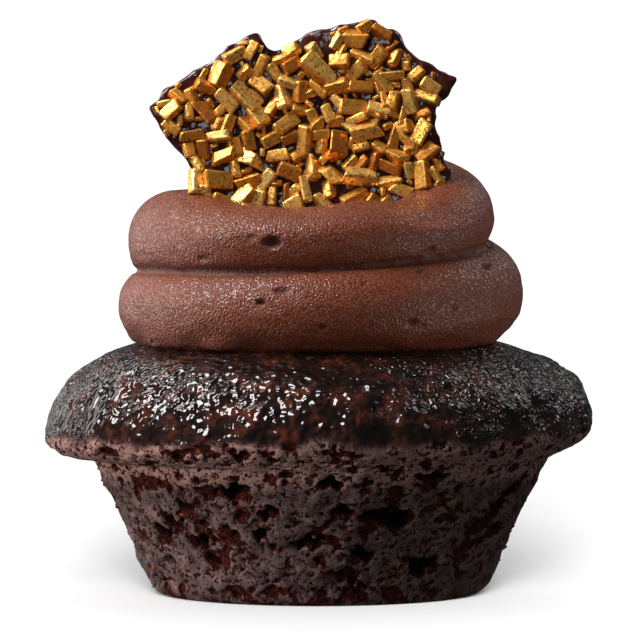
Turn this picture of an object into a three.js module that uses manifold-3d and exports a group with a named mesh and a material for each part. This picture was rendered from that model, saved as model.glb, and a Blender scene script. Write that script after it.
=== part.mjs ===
// A chocolate cupcake with no paper case: a domed sponge with an overhanging rim, a swirl of
// piped frosting, and a chocolate shard covered in gold sugar crystals that stands in the swirl.
// Millimetres, +Z up. The origin is the middle of the sponge's flat foot, and -Y is the front.
import * as THREE from "three";
import { mergeVertices } from "three/addons/utils/BufferGeometryUtils.js";
import Module from "manifold-3d";

const wasm = await Module();
wasm.setup();

// Driving dimensions

const touchGap = 0.3; // between pieces that rest on or stand in each other

const sponge = {
  footRadius: 23.9,
  footRounding: 1.5,
  wallTopRadius: 32.8,
  wallTopHeight: 20.2,
  rimRadius: 39.7,
  rimHeight: 24.6, // of the widest line
  domeHeight: 39.5,
  domeFullness: 2.35, // 2 is an ellipse, more is fuller
  frostedRadius: 29, // the dome is smooth inside this, under the frosting
  // in front the wall swells out under the rim, so that the rim hangs over less there
  swollenFrom: 9,
  swollenShare: 0.92,
  swollenAngle: -70 * THREE.MathUtils.DEG2RAD,
  pores: 34,
  poreSeed: 11,
  columns: 80,
};

const frosting = {
  fullness: 2.15, // of the rope's section: 2 is an ellipse, more is squarer
  coreRadius: 20,
  coreHeight: 45,
  coreRise: 10,
  eyeHeight: 47, // the point on the axis that sees the whole surface
  ropeEnd: 0.05, // turns over which each end of the rope rounds off
  columns: 64,
};

// The peak that the swirl ends in, behind the shard.
const swirlTip = { x: 1.5, y: 4.2, base: 60, radius: 10.8, rise: 10, taper: 0.8 };

// The rope of frosting at every quarter turn, from under the back, by way of the left, the
// front and the right. reach is its outer radius, and height that of its middle.
const ropeStart = -0.25;
const ropeQuarters = [
  { reach: 28.6, height: 41.4, halfWidth: 7.6, halfHeight: 5.4 }, // back
  { reach: 29.3, height: 42.0, halfWidth: 8.0, halfHeight: 6.7 }, // left
  { reach: 29.7, height: 42.6, halfWidth: 8.0, halfHeight: 6.7 }, // front
  { reach: 29.9, height: 44.2, halfWidth: 8.4, halfHeight: 7.9 }, // right
  { reach: 28.6, height: 48.6, halfWidth: 8.2, halfHeight: 7.2 }, // back
  { reach: 27.9, height: 51.7, halfWidth: 7.9, halfHeight: 7.5 }, // left
  { reach: 27.0, height: 52.2, halfWidth: 7.6, halfHeight: 5.9 }, // front
  { reach: 25.6, height: 55.5, halfWidth: 7.6, halfHeight: 7.1 }, // right
  { reach: 21.6, height: 60.0, halfWidth: 7.2, halfHeight: 6.3 }, // back
  { reach: 14.8, height: 62.6, halfWidth: 6.4, halfHeight: 5.4 }, // left
  { reach: 5.6, height: 64.0, halfWidth: 5.0, halfHeight: 4.4 }, // front
];

const shard = {
  forward: 8.5, // how far in front of the axis it stands
  pivotHeight: 55,
  leanBack: 6, // degrees
  thickness: 2.6,
};

// The shard's torn outline, anticlockwise seen from the front, from the foot's right end:
// millimetres to the right of the axis and above the pivot.
const shardOutline = [
  [16.5, 1.2], [17.6, 4.4], [19.2, 6.4], [17.8, 9.2], [17.6, 11.6], [16.6, 13.2], [16.9, 16.0],
  [18.9, 18.8], [20.1, 20.6], [18.2, 21.0], [16.0, 22.6], [14.3, 23.2], [12.6, 25.2], [11.2, 27.4],
  [9.2, 28.2], [7.8, 29.6], [4.6, 28.6], [1.8, 27.8], [-1.4, 27.0], [-4.4, 25.6], [-7.0, 25.0],
  [-8.8, 27.2], [-10.8, 26.6], [-13.2, 25.4], [-15.6, 23.2], [-18.8, 21.2], [-21.4, 19.6],
  [-24.0, 17.4], [-24.9, 16.2], [-23.6, 14.4], [-22.8, 12.6], [-20.8, 10.4], [-18.8, 7.6],
  [-18.6, 5.0], [-19.3, 2.6],
];
const shardFoot = { left: -18.6, right: 15.6, depth: 3.4 };

// Gold sugar crystals, largest first: how many tries each size gets, and its length.
const crystalSizes = [
  { tries: 90, length: 4.1, spacing: 3.0 },
  { tries: 420, length: 3.1, spacing: 2.35 },
  { tries: 900, length: 2.3, spacing: 1.8 },
];
const crystal = { widthShare: 0.58, heightShare: 0.6, tilt: 0.55, endShare: 0.45 };
const crystalField = new THREE.Box2(new THREE.Vector2(-25, -3), new THREE.Vector2(20, 30));
const crystalSeeds = { front: 5, back: 23 };

// Helpers

// Repeatable random numbers from 0 to 1.
function seededRandom(seed) {
  let state = seed;
  return () => {
    state = (Math.imul(state, 1664525) + 1013904223) >>> 0;
    return state / 4294967296;
  };
}

// Smooth lumps from waves in evenly spread directions, about -1 to 1. size is in millimetres.
function lumps(x, y, z, size, waves = 9) {
  const goldenAngle = Math.PI * (3 - Math.sqrt(5));
  let sum = 0;
  for (let k = 0; k < waves; k++) {
    const up = 1 - (2 * k + 1) / waves;
    const across = Math.sqrt(1 - up * up);
    const pace = (2 * Math.PI / size) * (0.75 + 0.5 * ((k * 0.37) % 1));
    const along = x * across * Math.cos(k * goldenAngle)
      + y * across * Math.sin(k * goldenAngle) + z * up;
    sum += Math.sin(pace * along + 1.7 * k);
  }
  return sum / Math.sqrt(waves * 2);
}

// A closed surface from rows of points round the axis. pointAt gives each, and the first and
// last rows are single points on the axis.
function closedSurface(rows, columns, pointAt) {
  const positions = [pointAt(0, 0)];
  for (let i = 1; i < rows; i++)
    for (let j = 0; j < columns; j++)
      positions.push(pointAt(i / rows, (j / columns) * 2 * Math.PI));
  positions.push(pointAt(1, 0));
  const at = (i, j) => 1 + (i - 1) * columns + (j % columns);
  const last = positions.length - 1;
  const faces = [];
  for (let j = 0; j < columns; j++) {
    faces.push(0, at(1, j + 1), at(1, j));
    faces.push(last, at(rows - 1, j), at(rows - 1, j + 1));
  }
  for (let i = 1; i < rows - 1; i++)
    for (let j = 0; j < columns; j++) {
      faces.push(at(i, j), at(i, j + 1), at(i + 1, j + 1));
      faces.push(at(i, j), at(i + 1, j + 1), at(i + 1, j));
    }
  const geometry = new THREE.BufferGeometry().setFromPoints(positions);
  geometry.setIndex(faces);
  return geometry;
}

// A closed geometry as a solid that can be joined and cut, and back.
function toSolid(geometry) {
  const bare = geometry.clone();
  bare.deleteAttribute("normal");
  bare.deleteAttribute("uv");
  const merged = mergeVertices(bare, 1e-4);
  return new wasm.Manifold(new wasm.Mesh({
    numProp: 3,
    vertProperties: new Float32Array(merged.attributes.position.array),
    triVerts: new Uint32Array(merged.index.array),
  }));
}

// Several solids as one, with any hollow that they close off between them filled.
function joined(solids) {
  const shells = wasm.Manifold.union(solids).decompose();
  return wasm.Manifold.union(shells.filter((shell) => shell.volume() > 0));
}

function toGeometry(solid) {
  const mesh = solid.getMesh();
  const geometry = new THREE.BufferGeometry();
  geometry.setAttribute("position", new THREE.BufferAttribute(mesh.vertProperties, 3));
  geometry.setIndex(new THREE.BufferAttribute(mesh.triVerts, 1));
  return geometry;
}

function namedMesh(name, geometry, colour, roughness, metalness = 0) {
  geometry.computeVertexNormals();
  const material = new THREE.MeshStandardMaterial({ color: colour, roughness, metalness });
  const mesh = new THREE.Mesh(geometry, material);
  mesh.name = name;
  return mesh;
}

// The sponge

// The dome's height at a radius.
function domeAt(radius) {
  const share = Math.min(radius / sponge.rimRadius, 1);
  const rise = (1 - share ** sponge.domeFullness) ** (1 / sponge.domeFullness);
  return sponge.rimHeight + (sponge.domeHeight - sponge.rimHeight) * rise;
}

// The section from the middle of the foot, up the wall and round the rim to the top of the dome.
// Each stretch has its own number of rows.
function spongeSection() {
  const { footRadius, footRounding, wallTopRadius, wallTopHeight, rimRadius, rimHeight } = sponge;
  const at = (radius, height) => new THREE.Vector2(radius, height);
  const corner = new THREE.QuadraticBezierCurve(
    at(footRadius - footRounding, 0), at(footRadius, 0), at(footRadius + 0.7, footRounding));
  const wall = new THREE.LineCurve(
    at(footRadius + 0.7, footRounding), at(wallTopRadius, wallTopHeight));
  const rim = new THREE.CubicBezierCurve(
    at(wallTopRadius, wallTopHeight), at(wallTopRadius + 2.7, wallTopHeight + 0.8),
    at(rimRadius + 0.5, wallTopHeight + 1.2), at(rimRadius, rimHeight));
  const dome = [];
  const domeRows = 11;
  for (let k = 1; k <= domeRows; k++) {
    const turn = (k / domeRows) * (Math.PI / 2);
    const radius = rimRadius * Math.cos(turn) ** (2 / sponge.domeFullness);
    dome.push(at(radius, domeAt(radius)));
  }
  return [
    at(0, 0), at(footRadius * 0.6, 0),
    ...corner.getPoints(2),
    ...wall.getPoints(8).slice(1),
    ...rim.getPoints(5).slice(1),
    ...dome.slice(0, -1),
    at(0, sponge.domeHeight),
  ];
}

// Torn pores in the wall: wide, low dents at seeded places.
function makePores() {
  const random = seededRandom(sponge.poreSeed);
  const pores = [];
  for (let k = 0; k < sponge.pores; k++)
    pores.push({
      angle: random() * 2 * Math.PI,
      height: 4 + random() * 13.5,
      halfWidth: 2.4 + 2.2 * random(),
      halfHeight: 1.7 + 0.9 * random(),
      depth: 1.0 + 1.2 * random(),
    });
  return pores;
}

function poreDepth(pores, angle, height, radius) {
  let deepest = 0;
  for (const pore of pores) {
    const turn = Math.atan2(Math.sin(angle - pore.angle), Math.cos(angle - pore.angle));
    const across = (turn * radius) / pore.halfWidth;
    const up = (height - pore.height) / pore.halfHeight;
    const inside = 1 - across * across - up * up;
    if (inside > 0) deepest = Math.max(deepest, pore.depth * inside);
  }
  return deepest;
}

// How far the wall swells out at a height, towards a straight line from its middle to the rim.
function wallSwelling(angle, radius, height) {
  const { swollenFrom, swollenShare, swollenAngle, rimRadius, rimHeight, wallTopHeight } = sponge;
  if (height < swollenFrom || height > rimHeight) return 0;
  const foot = sponge.footRadius + 0.7;
  const start = foot + (sponge.wallTopRadius - foot) * (swollenFrom / wallTopHeight);
  const along = (height - swollenFrom) / (rimHeight - swollenFrom);
  const facing = Math.max(0, Math.cos(angle - swollenAngle)) ** 2;
  return swollenShare * facing * Math.max(0, start + (rimRadius - start) * along - radius);
}

function makeSponge() {
  const section = spongeSection();
  const pores = makePores();
  const rows = section.length - 1;
  return closedSurface(rows, sponge.columns, (share, angle) => {
    const { x: radius, y: height } = section[Math.round(share * rows)];
    const onFoot = height === 0;
    const c = Math.cos(angle);
    const s = Math.sin(angle);
    // The rim sags more on the left, and the whole is a little out of round.
    const rimShare = THREE.MathUtils.smoothstep(radius, sponge.wallTopRadius - 3, sponge.rimRadius);
    const frosted = height > sponge.rimHeight
      ? 1 - THREE.MathUtils.smoothstep(radius, sponge.frostedRadius, sponge.frostedRadius + 6) : 0;
    const uneven = 0.25 * Math.sin(2 * angle + 0.6) + 0.2 * Math.sin(3 * angle + 2.1)
      + 0.15 * Math.sin(5 * angle + 4);
    const sag = (0.7 * c + 0.3 * Math.sin(3 * angle + 1)) * rimShare * (1 - frosted);
    const relief = height > sponge.wallTopHeight
      ? 0.42 * lumps(radius * c, radius * s, height, 7) * (1 - frosted)
      : 0.3 * lumps(radius * c, radius * s, height, 5) - poreDepth(pores, angle, height, radius);
    const swelling = onFoot ? 0 : (uneven * (1 - frosted) + relief) * Math.min(1, height / 2);
    const onDome = height > sponge.rimHeight ? 1 : 0;
    const outward = 1 - onDome * (1 - radius / sponge.rimRadius);
    const reach = radius + swelling * outward + wallSwelling(angle, radius, height);
    const lift = onFoot ? 0 : sag + swelling * (1 - outward);
    return new THREE.Vector3(reach * c, reach * s, height + lift);
  });
}

// The frosting

// The rope's section after so many turns, by a smooth curve through the quarter turns.
function ropeAt(turns) {
  const place = (turns - ropeStart) * 4;
  const last = ropeQuarters.length - 1;
  const k = Math.min(Math.max(Math.floor(place), 0), last - 1);
  const t = place - k;
  const [a, b, c, d] = [k - 1, k, k + 1, k + 2]
    .map((i) => ropeQuarters[Math.min(Math.max(i, 0), last)]);
  const between = (key) => 0.5 * (2 * b[key] + (c[key] - a[key]) * t
    + (2 * a[key] - 5 * b[key] + 4 * c[key] - d[key]) * t * t
    + (3 * b[key] - a[key] - 3 * c[key] + d[key]) * t * t * t);
  const fromEnd = Math.min(turns - ropeStart, ropeStart + last / 4 - turns) / frosting.ropeEnd;
  const swell = Math.sqrt(1 - (1 - Math.min(fromEnd, 1)) ** 2);
  return {
    middle: between("reach") - between("halfWidth"),
    height: between("height"),
    halfWidth: between("halfWidth") * swell,
    halfHeight: between("halfHeight") * swell,
  };
}

// The turns of rope that stand over one direction, lowest first.
function ropesOver(angle) {
  const first = ((angle - Math.PI) / (2 * Math.PI) + 2) % 1; // left is 0, front a quarter
  const ropeEnd = ropeStart + (ropeQuarters.length - 1) / 4;
  const found = [];
  for (let turns = first - 1; turns <= ropeEnd; turns++)
    if (turns > ropeStart) found.push(ropeAt(turns));
  found.angle = angle;
  return found;
}

// Which part of the frosting holds a point: a rope's place in the list, or the core or the tip
// after them, or -1 outside.
function frostingPart(ropes, radius, height) {
  if (height < domeAt(radius) + touchGap) return -1;
  const { fullness } = frosting;
  const rope = ropes.findIndex(({ middle, height: level, halfWidth, halfHeight }) =>
    Math.abs((radius - middle) / halfWidth) ** fullness
    + Math.abs((height - level) / halfHeight) ** fullness < 1);
  if (rope >= 0) return rope;
  const core = (radius / frosting.coreRadius) ** 2
    + ((height - frosting.coreHeight) / frosting.coreRise) ** 2;
  if (core < 1) return ropes.length;
  const fromTip = Math.hypot(
    radius * Math.cos(ropes.angle) - swirlTip.x, radius * Math.sin(ropes.angle) - swirlTip.y);
  const climb = (height - swirlTip.base) / swirlTip.rise;
  return Math.abs(climb) < 1 && fromTip < swirlTip.radius * (1 - climb * climb) ** swirlTip.taper
    ? ropes.length + 1 : -1;
}

function inFrosting(ropes, radius, height) {
  return frostingPart(ropes, radius, height) >= 0;
}

// How far the surface is from the eye, at an elevation: the outermost crossing of that ray.
function frostingReach(ropes, elevation) {
  const step = 0.5;
  const c = Math.cos(elevation);
  const s = Math.sin(elevation);
  const inside = (far) => inFrosting(ropes, far * c, frosting.eyeHeight + far * s);
  let outer = 40;
  while (outer > step && !inside(outer - step)) outer -= step;
  let inner = outer - step;
  for (let k = 0; k < 12; k++) {
    const middle = (inner + outer) / 2;
    if (inside(middle)) inner = middle;
    else outer = middle;
  }
  return inner;
}

// Which part the surface belongs to at an elevation.
function partSeen(ropes, elevation) {
  const far = frostingReach(ropes, elevation) - 1e-3;
  return frostingPart(
    ropes, far * Math.cos(elevation), frosting.eyeHeight + far * Math.sin(elevation));
}

// Elevations from low to high, with the nearest one moved onto each groove between two parts.
function onGrooves(ropes, elevations) {
  const moved = [...elevations];
  for (let k = 0; k < elevations.length - 1; k++) {
    let [low, high] = [elevations[k], elevations[k + 1]];
    const below = partSeen(ropes, low);
    if (below === partSeen(ropes, high)) continue;
    for (let halving = 0; halving < 12; halving++) {
      const middle = (low + high) / 2;
      if (partSeen(ropes, middle) === below) low = middle;
      else high = middle;
    }
    const nearer = low - elevations[k] < elevations[k + 1] - low ? k : k + 1;
    if (nearer > 0 && nearer < elevations.length - 1) moved[nearer] = low;
  }
  return moved;
}

// The radius of the edge where the rope leaves the dome.
function frostingEdge(ropes) {
  const step = 0.1;
  let radius = frosting.coreRadius;
  while (inFrosting(ropes, radius + step, domeAt(radius + step) + touchGap + 0.01)) radius += step;
  return radius;
}

// The elevation, seen from the eye, of the underside at a radius.
function undersideElevation(radius) {
  return Math.atan2(domeAt(radius) + touchGap - frosting.eyeHeight, radius);
}

function makeFrosting() {
  const underRows = 7;
  const sideRows = 26;
  const rows = underRows + sideRows;
  const byColumn = new Map();
  const column = (angle) => {
    const ropes = ropesOver(angle);
    const edge = frostingEdge(ropes);
    const lowest = undersideElevation(edge);
    const elevations = [];
    for (let k = 0; k <= sideRows; k++) {
      const side = k / sideRows;
      elevations.push(lowest + (Math.PI / 2 - lowest) * (0.72 * side + 0.28 * side ** 3));
    }
    return { ropes, edge, elevations: onGrooves(ropes, elevations) };
  };
  return closedSurface(rows, frosting.columns, (share, angle) => {
    if (!byColumn.has(angle)) byColumn.set(angle, column(angle));
    const { ropes, edge, elevations } = byColumn.get(angle);
    const row = Math.round(share * rows);
    if (row <= underRows) {
      const under = (row / underRows) ** 0.8 * edge;
      return new THREE.Vector3(
        under * Math.cos(angle), under * Math.sin(angle), domeAt(under) + touchGap);
    }
    const elevation = elevations[row - underRows];
    const far = frostingReach(ropes, elevation);
    const radius = far * Math.cos(elevation);
    return new THREE.Vector3(
      radius * Math.cos(angle), radius * Math.sin(angle),
      frosting.eyeHeight + far * Math.sin(elevation));
  });
}

// The shard

// Where the shard stands: its own x runs to the right, y backwards and z up from the pivot.
const standing = new THREE.Group();
standing.position.set(0, -shard.forward, shard.pivotHeight);
standing.rotation.x = -shard.leanBack * THREE.MathUtils.DEG2RAD;
standing.updateMatrix();

function shardShape() {
  const { left, right, depth } = shardFoot;
  const shape = new THREE.Shape();
  shape.moveTo(right, -depth);
  shape.lineTo(right, 0);
  shape.splineThru(shardOutline.map(([x, z]) => new THREE.Vector2(x, z)));
  shape.lineTo(left, 0);
  shape.lineTo(left, -depth);
  shape.closePath();
  return shape;
}

// The bare slab of chocolate, standing up with its middle plane at y 0.
function makeSlab(shape) {
  const slab = new THREE.ExtrudeGeometry(shape, {
    depth: shard.thickness,
    bevelEnabled: false,
    curveSegments: 2,
  });
  return slab.translate(0, 0, -shard.thickness / 2).rotateX(Math.PI / 2);
}

// Whether a point is inside a ring of points.
function isInside(ring, x, z) {
  let inside = false;
  for (let i = 0, j = ring.length - 1; i < ring.length; j = i++) {
    const [a, b] = [ring[i], ring[j]];
    if (a.y > z !== b.y > z && x < ((b.x - a.x) * (z - a.y)) / (b.y - a.y) + a.x) inside = !inside;
  }
  return inside;
}

// Places for the crystals of one face, largest first, each clear of those before it and with
// both its ends over the slab.
function crystalPlaces(ring, seed) {
  const random = seededRandom(seed);
  const { min, max } = crystalField;
  const places = [];
  for (const { tries, length, spacing } of crystalSizes)
    for (let k = 0; k < tries; k++) {
      const x = min.x + (max.x - min.x) * random();
      const z = min.y + (max.y - min.y) * random();
      const place = {
        x, z, spacing,
        length: length * (0.85 + 0.3 * random()),
        width: length * crystal.widthShare * (0.75 + 0.5 * random()),
        height: length * crystal.heightShare * (0.85 + 0.3 * random()),
        turn: Math.PI * random(),
        pitch: crystal.tilt * (2 * random() - 1),
        roll: crystal.tilt * (2 * random() - 1),
      };
      const clear = places.every((other) =>
        Math.hypot(other.x - x, other.z - z) > (other.spacing + spacing) / 2);
      const onSlab = [-crystal.endShare, crystal.endShare].every((share) => isInside(
        ring, x + share * place.length * Math.cos(place.turn),
        z + share * place.length * Math.sin(place.turn)));
      if (clear && onSlab) places.push(place);
    }
  return places;
}

// One crystal half sunk into the slab's front face (side -1) or back face (side 1).
function placedCrystal(place, side) {
  const turned = new THREE.Matrix4().makeRotationFromEuler(
    new THREE.Euler(place.pitch, place.roll, place.turn));
  const upright = new THREE.Matrix4().makeRotationX(Math.PI / 2);
  return new THREE.BoxGeometry(place.length, place.width, place.height)
    .applyMatrix4(turned).applyMatrix4(upright)
    .translate(place.x, (side * shard.thickness) / 2, place.z);
}

// Whether any corner of a crystal would be in the frosting or closer than the gap to it.
function meetsFrosting(body) {
  const corner = new THREE.Vector3();
  const position = body.getAttribute("position");
  for (let k = 0; k < position.count; k++) {
    corner.fromBufferAttribute(position, k).applyMatrix4(standing.matrix);
    const radius = Math.hypot(corner.x, corner.y);
    const ropes = ropesOver(Math.atan2(corner.y, corner.x));
    for (const down of [0, 2 * touchGap])
      if (inFrosting(ropes, radius, corner.z - down)) return true;
    if (inFrosting(ropes, radius + 2 * touchGap, corner.z)) return true;
    if (inFrosting(ropes, radius - 2 * touchGap, corner.z)) return true;
  }
  return false;
}

function makeShard(slab, shape) {
  const ring = shape.getPoints(2);
  const solids = [toSolid(slab)];
  for (const [side, seed] of [[-1, crystalSeeds.front], [1, crystalSeeds.back]])
    for (const place of crystalPlaces(ring, seed)) {
      const body = placedCrystal(place, side);
      if (!meetsFrosting(body)) solids.push(toSolid(body));
    }
  return toGeometry(joined(solids));
}

// The slot that the shard's foot stands in: the slab's own flanks with a gap round them, open
// above the frosting.
function makeSlot() {
  const { left, right, depth } = shardFoot;
  const mouth = 13;
  const room = touchGap + 0.15; // the outline bulges a little between its points
  const flank = (side) => shardOutline
    .filter(([x, z]) => Math.sign(x) === side && z < 7)
    .map(([x, z]) => new THREE.Vector2(x + side * room, z));
  const rightFlank = flank(1);
  const leftFlank = flank(-1);
  const shape = new THREE.Shape([
    new THREE.Vector2(left - room, -depth - touchGap),
    new THREE.Vector2(right + room, -depth - touchGap),
    new THREE.Vector2(right + room, -touchGap),
    ...rightFlank,
    new THREE.Vector2(rightFlank.at(-1).x, mouth),
    new THREE.Vector2(leftFlank[0].x, mouth),
    ...leftFlank,
    new THREE.Vector2(left - room, -touchGap),
  ]);
  const thickness = shard.thickness + 2 * touchGap;
  return new THREE.ExtrudeGeometry(shape, { depth: thickness, bevelEnabled: false })
    .translate(0, 0, -thickness / 2).rotateX(Math.PI / 2).applyMatrix4(standing.matrix);
}

// The cupcake

const shape = shardShape();
const swirl = toSolid(makeFrosting()).subtract(toSolid(makeSlot()));

const cupcake = new THREE.Group();
cupcake.add(namedMesh("sponge", makeSponge(), "#2b1a16", 0.45));
cupcake.add(namedMesh("frosting", toGeometry(swirl), "#6f4636", 0.5));
standing.add(namedMesh("shard", makeShard(makeSlab(shape), shape), "#b5782a", 0.35, 0.4));
cupcake.add(standing);

export default cupcake;
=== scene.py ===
# Chocolate cupcake: a dark sponge with no paper case, a piped frosting swirl and a chocolate
# shard covered in gold sugar crystals.
import itertools
import math
import bmesh
import bpy
import numpy as np
from mathutils import Matrix, Vector


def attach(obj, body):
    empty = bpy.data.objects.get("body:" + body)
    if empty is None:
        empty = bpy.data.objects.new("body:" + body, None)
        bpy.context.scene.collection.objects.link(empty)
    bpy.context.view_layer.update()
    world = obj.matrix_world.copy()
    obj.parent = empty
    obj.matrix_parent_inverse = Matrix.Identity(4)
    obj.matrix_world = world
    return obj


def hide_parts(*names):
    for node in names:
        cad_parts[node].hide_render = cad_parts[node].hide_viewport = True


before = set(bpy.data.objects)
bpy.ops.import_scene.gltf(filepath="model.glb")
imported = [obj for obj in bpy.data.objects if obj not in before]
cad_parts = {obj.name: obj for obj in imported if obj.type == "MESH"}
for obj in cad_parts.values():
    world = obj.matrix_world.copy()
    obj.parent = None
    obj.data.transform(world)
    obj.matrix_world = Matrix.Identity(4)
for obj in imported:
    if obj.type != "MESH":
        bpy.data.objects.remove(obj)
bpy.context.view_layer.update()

millimetre = 0.001
wordSize = 2 ** 32


# Repeatable randomness and solid noise, for numpy arrays of points in millimetres

class Draws:  # the same run of numbers from 0 to 1 every time
    def __init__(self, seed):
        self.state = seed

    def next(self, low=0.0, high=1.0):
        self.state = (self.state * 1664525 + 1013904223) % wordSize
        return low + (high - low) * self.state / wordSize


def scatter(cells, seed):  # one number from 0 to 1 for each whole-number cell
    mixed = cells[:, 0] * 73856093 ^ cells[:, 1] * 19349663 ^ cells[:, 2] * 83492791 ^ seed * 40503
    mixed = ((mixed ^ (mixed >> 13)) * 1274126177) & 0xFFFFFFFF
    mixed = ((mixed ^ (mixed >> 15)) * 668265263) & 0xFFFFFFFF
    return ((mixed ^ (mixed >> 16)) & 0xFFFFFF) / 0x1000000


def smoothNoise(points, height, size, seed):  # up to height either way, in lumps of about that size
    scaled = points / size
    base = np.floor(scaled).astype(np.int64)
    inside = scaled - base
    ease = inside * inside * (3 - 2 * inside)
    total = np.zeros(len(points))
    for corner in itertools.product((0, 1), repeat=3):
        weight = np.prod(np.where(np.array(corner) == 1, ease, 1 - ease), axis=1)
        total += weight * scatter(base + np.array(corner), seed)
    return height * (2 * total - 1)


def layeredNoise(points, height, size, seed, layers=3):  # each layer half the size and half the height
    total = sum(smoothNoise(points, 1 / 2 ** k, size / 2 ** k, seed + k) for k in range(layers))
    return height * (total / 1.5)


def hollows(points, spacing, share, seed, stretch=(1, 1, 1), smallest=0.25, largest=0.6):
    # round bubbles through the solid: 0 outside, up to 1 in the middle of one
    scaled = points / (spacing * np.array(stretch))
    base = np.floor(scaled).astype(np.int64)
    deepest = np.zeros(len(points))
    for step in itertools.product((-1, 0, 1), repeat=3):
        cell = base + np.array(step)
        centre = cell + np.stack([scatter(cell, seed + k) for k in range(3)], axis=1)
        reach = smallest + (largest - smallest) * scatter(cell, seed + 3) ** 2
        away = np.linalg.norm(scaled - centre, axis=1) / reach
        held = scatter(cell, seed + 4) < share
        deepest = np.maximum(deepest, np.where(held, 1 - away * away, 0))
    return deepest


def swell(points, size, waves=9):  # the slow waves that the solids have too
    golden = math.pi * (3 - math.sqrt(5))
    total = np.zeros(len(points))
    for k in range(waves):
        up = 1 - (2 * k + 1) / waves
        across = math.sqrt(1 - up * up)
        pace = (2 * math.pi / size) * (0.75 + 0.5 * ((k * 0.37) % 1))
        direction = np.array([across * math.cos(k * golden), across * math.sin(k * golden), up])
        total += np.sin(pace * (points @ direction) + 1.7 * k)
    return total / math.sqrt(waves * 2)


def smoothStep(value, low, high):
    share = np.clip((value - low) / (high - low), 0, 1)
    return share * share * (3 - 2 * share)


# Mesh helpers

def pointsFrom(x, y, z):  # rows of points, from numbers or arrays of them
    return np.stack(np.broadcast_arrays(x, y, z), axis=1)


def setMark(mesh, mark, values):  # one number a point, for the materials
    mesh.attributes.new(mark, "FLOAT", "POINT").data.foreach_set("value", values.astype(np.float32))


def makeMesh(name, points, faces, marks=None):  # points in millimetres
    mesh = bpy.data.meshes.new(name)
    mesh.from_pydata((points * millimetre).tolist(), [], list(map(list, faces)))
    for mark, values in (marks or {}).items():
        setMark(mesh, mark, values)
    mesh.shade_smooth()
    piece = bpy.data.objects.new(name, mesh)
    bpy.context.scene.collection.objects.link(piece)
    return piece


def readPoints(piece):
    flat = np.zeros(len(piece.data.vertices) * 3, np.float32)
    piece.data.vertices.foreach_get("co", flat)
    return flat.reshape(-1, 3).astype(float) / millimetre


def writePoints(piece, points):
    piece.data.vertices.foreach_set("co", (points * millimetre).astype(np.float32).ravel())
    piece.data.update()


def readNormals(piece):
    flat = np.zeros(len(piece.data.vertices) * 3, np.float32)
    piece.data.vertex_normals.foreach_get("vector", flat)
    return flat.reshape(-1, 3).astype(float)


def lathedFaces(rows, columns):  # quads between rows of points round an axis, and fans at both ends
    across = [(j, (j + 1) % columns) for j in range(columns)]
    top = 1 + (rows - 1) * columns
    faces = [(0, 1 + right, 1 + left) for left, right in across]
    for low in range(1, top, columns):
        high = low + columns
        faces += [(low + left, low + right, high + right, high + left) for left, right in across]
    faces += [(top + columns, top + left, top + right) for left, right in across]
    return faces


def applyModifiers(piece):
    depsgraph = bpy.context.evaluated_depsgraph_get()
    made = bpy.data.meshes.new_from_object(piece.evaluated_get(depsgraph))
    old = piece.data
    piece.modifiers.clear()
    piece.data = made
    made.name = piece.name
    bpy.data.meshes.remove(old)


def remesh(piece, voxel):  # one even skin over everything in the piece
    skin = piece.modifiers.new("skin", "REMESH")
    skin.mode = "VOXEL"
    skin.voxel_size = voxel * millimetre
    skin.use_smooth_shade = True
    applyModifiers(piece)


def relaxed(piece, rounds, pull=0.6):  # the points, each moved towards the middle of its neighbours
    pairs = np.zeros(len(piece.data.edges) * 2, np.int32)
    piece.data.edges.foreach_get("vertices", pairs)
    first, second = pairs.reshape(-1, 2).T
    ends, others = np.concatenate([first, second]), np.concatenate([second, first])
    points = readPoints(piece)
    count = np.maximum(np.bincount(ends, minlength=len(points)), 1)[:, None]
    for _ in range(rounds):
        total = np.stack([np.bincount(ends, values[others], len(points)) for values in points.T], axis=1)
        points = (1 - pull) * points + pull * total / count
    return points


def alongCurve(corners, place):  # a smooth curve through the corners, so many corners from the first
    last = len(corners) - 1
    k = min(max(math.floor(place), 0), last - 1)
    t = place - k
    a, b, c, d = [np.array(corners[min(max(i, 0), last)]) for i in (k - 1, k, k + 1, k + 2)]
    return 0.5 * (2 * b + (c - a) * t + (2 * a - 5 * b + 4 * c - d) * t ** 2
                  + (3 * b - a - 3 * c + d) * t ** 3)


# Material helpers

class Wire:  # a node's socket that can be added, multiplied and so on
    def __init__(self, finish, socket):
        self.finish = finish
        self.socket = socket

    def maths(self, operation, *values):
        return self.finish.node("ShaderNodeMath", {"operation": operation}, dict(enumerate(values)))

    def __add__(self, other):
        return self.maths("ADD", self, other)

    def __sub__(self, other):
        return self.maths("SUBTRACT", self, other)

    def __rsub__(self, other):
        return self.maths("SUBTRACT", other, self)

    def __mul__(self, other):
        return self.maths("MULTIPLY", self, other)

    __radd__ = __add__
    __rmul__ = __mul__

    def most(self, other):
        return self.maths("MAXIMUM", self, other)

    def between(self, low, high, toLow=0.0, toHigh=1.0):
        return self.finish.node(
            "ShaderNodeMapRange", {"interpolation_type": "SMOOTHSTEP"},
            {"Value": self, "From Min": low, "From Max": high, "To Min": toLow, "To Max": toHigh})


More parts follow.
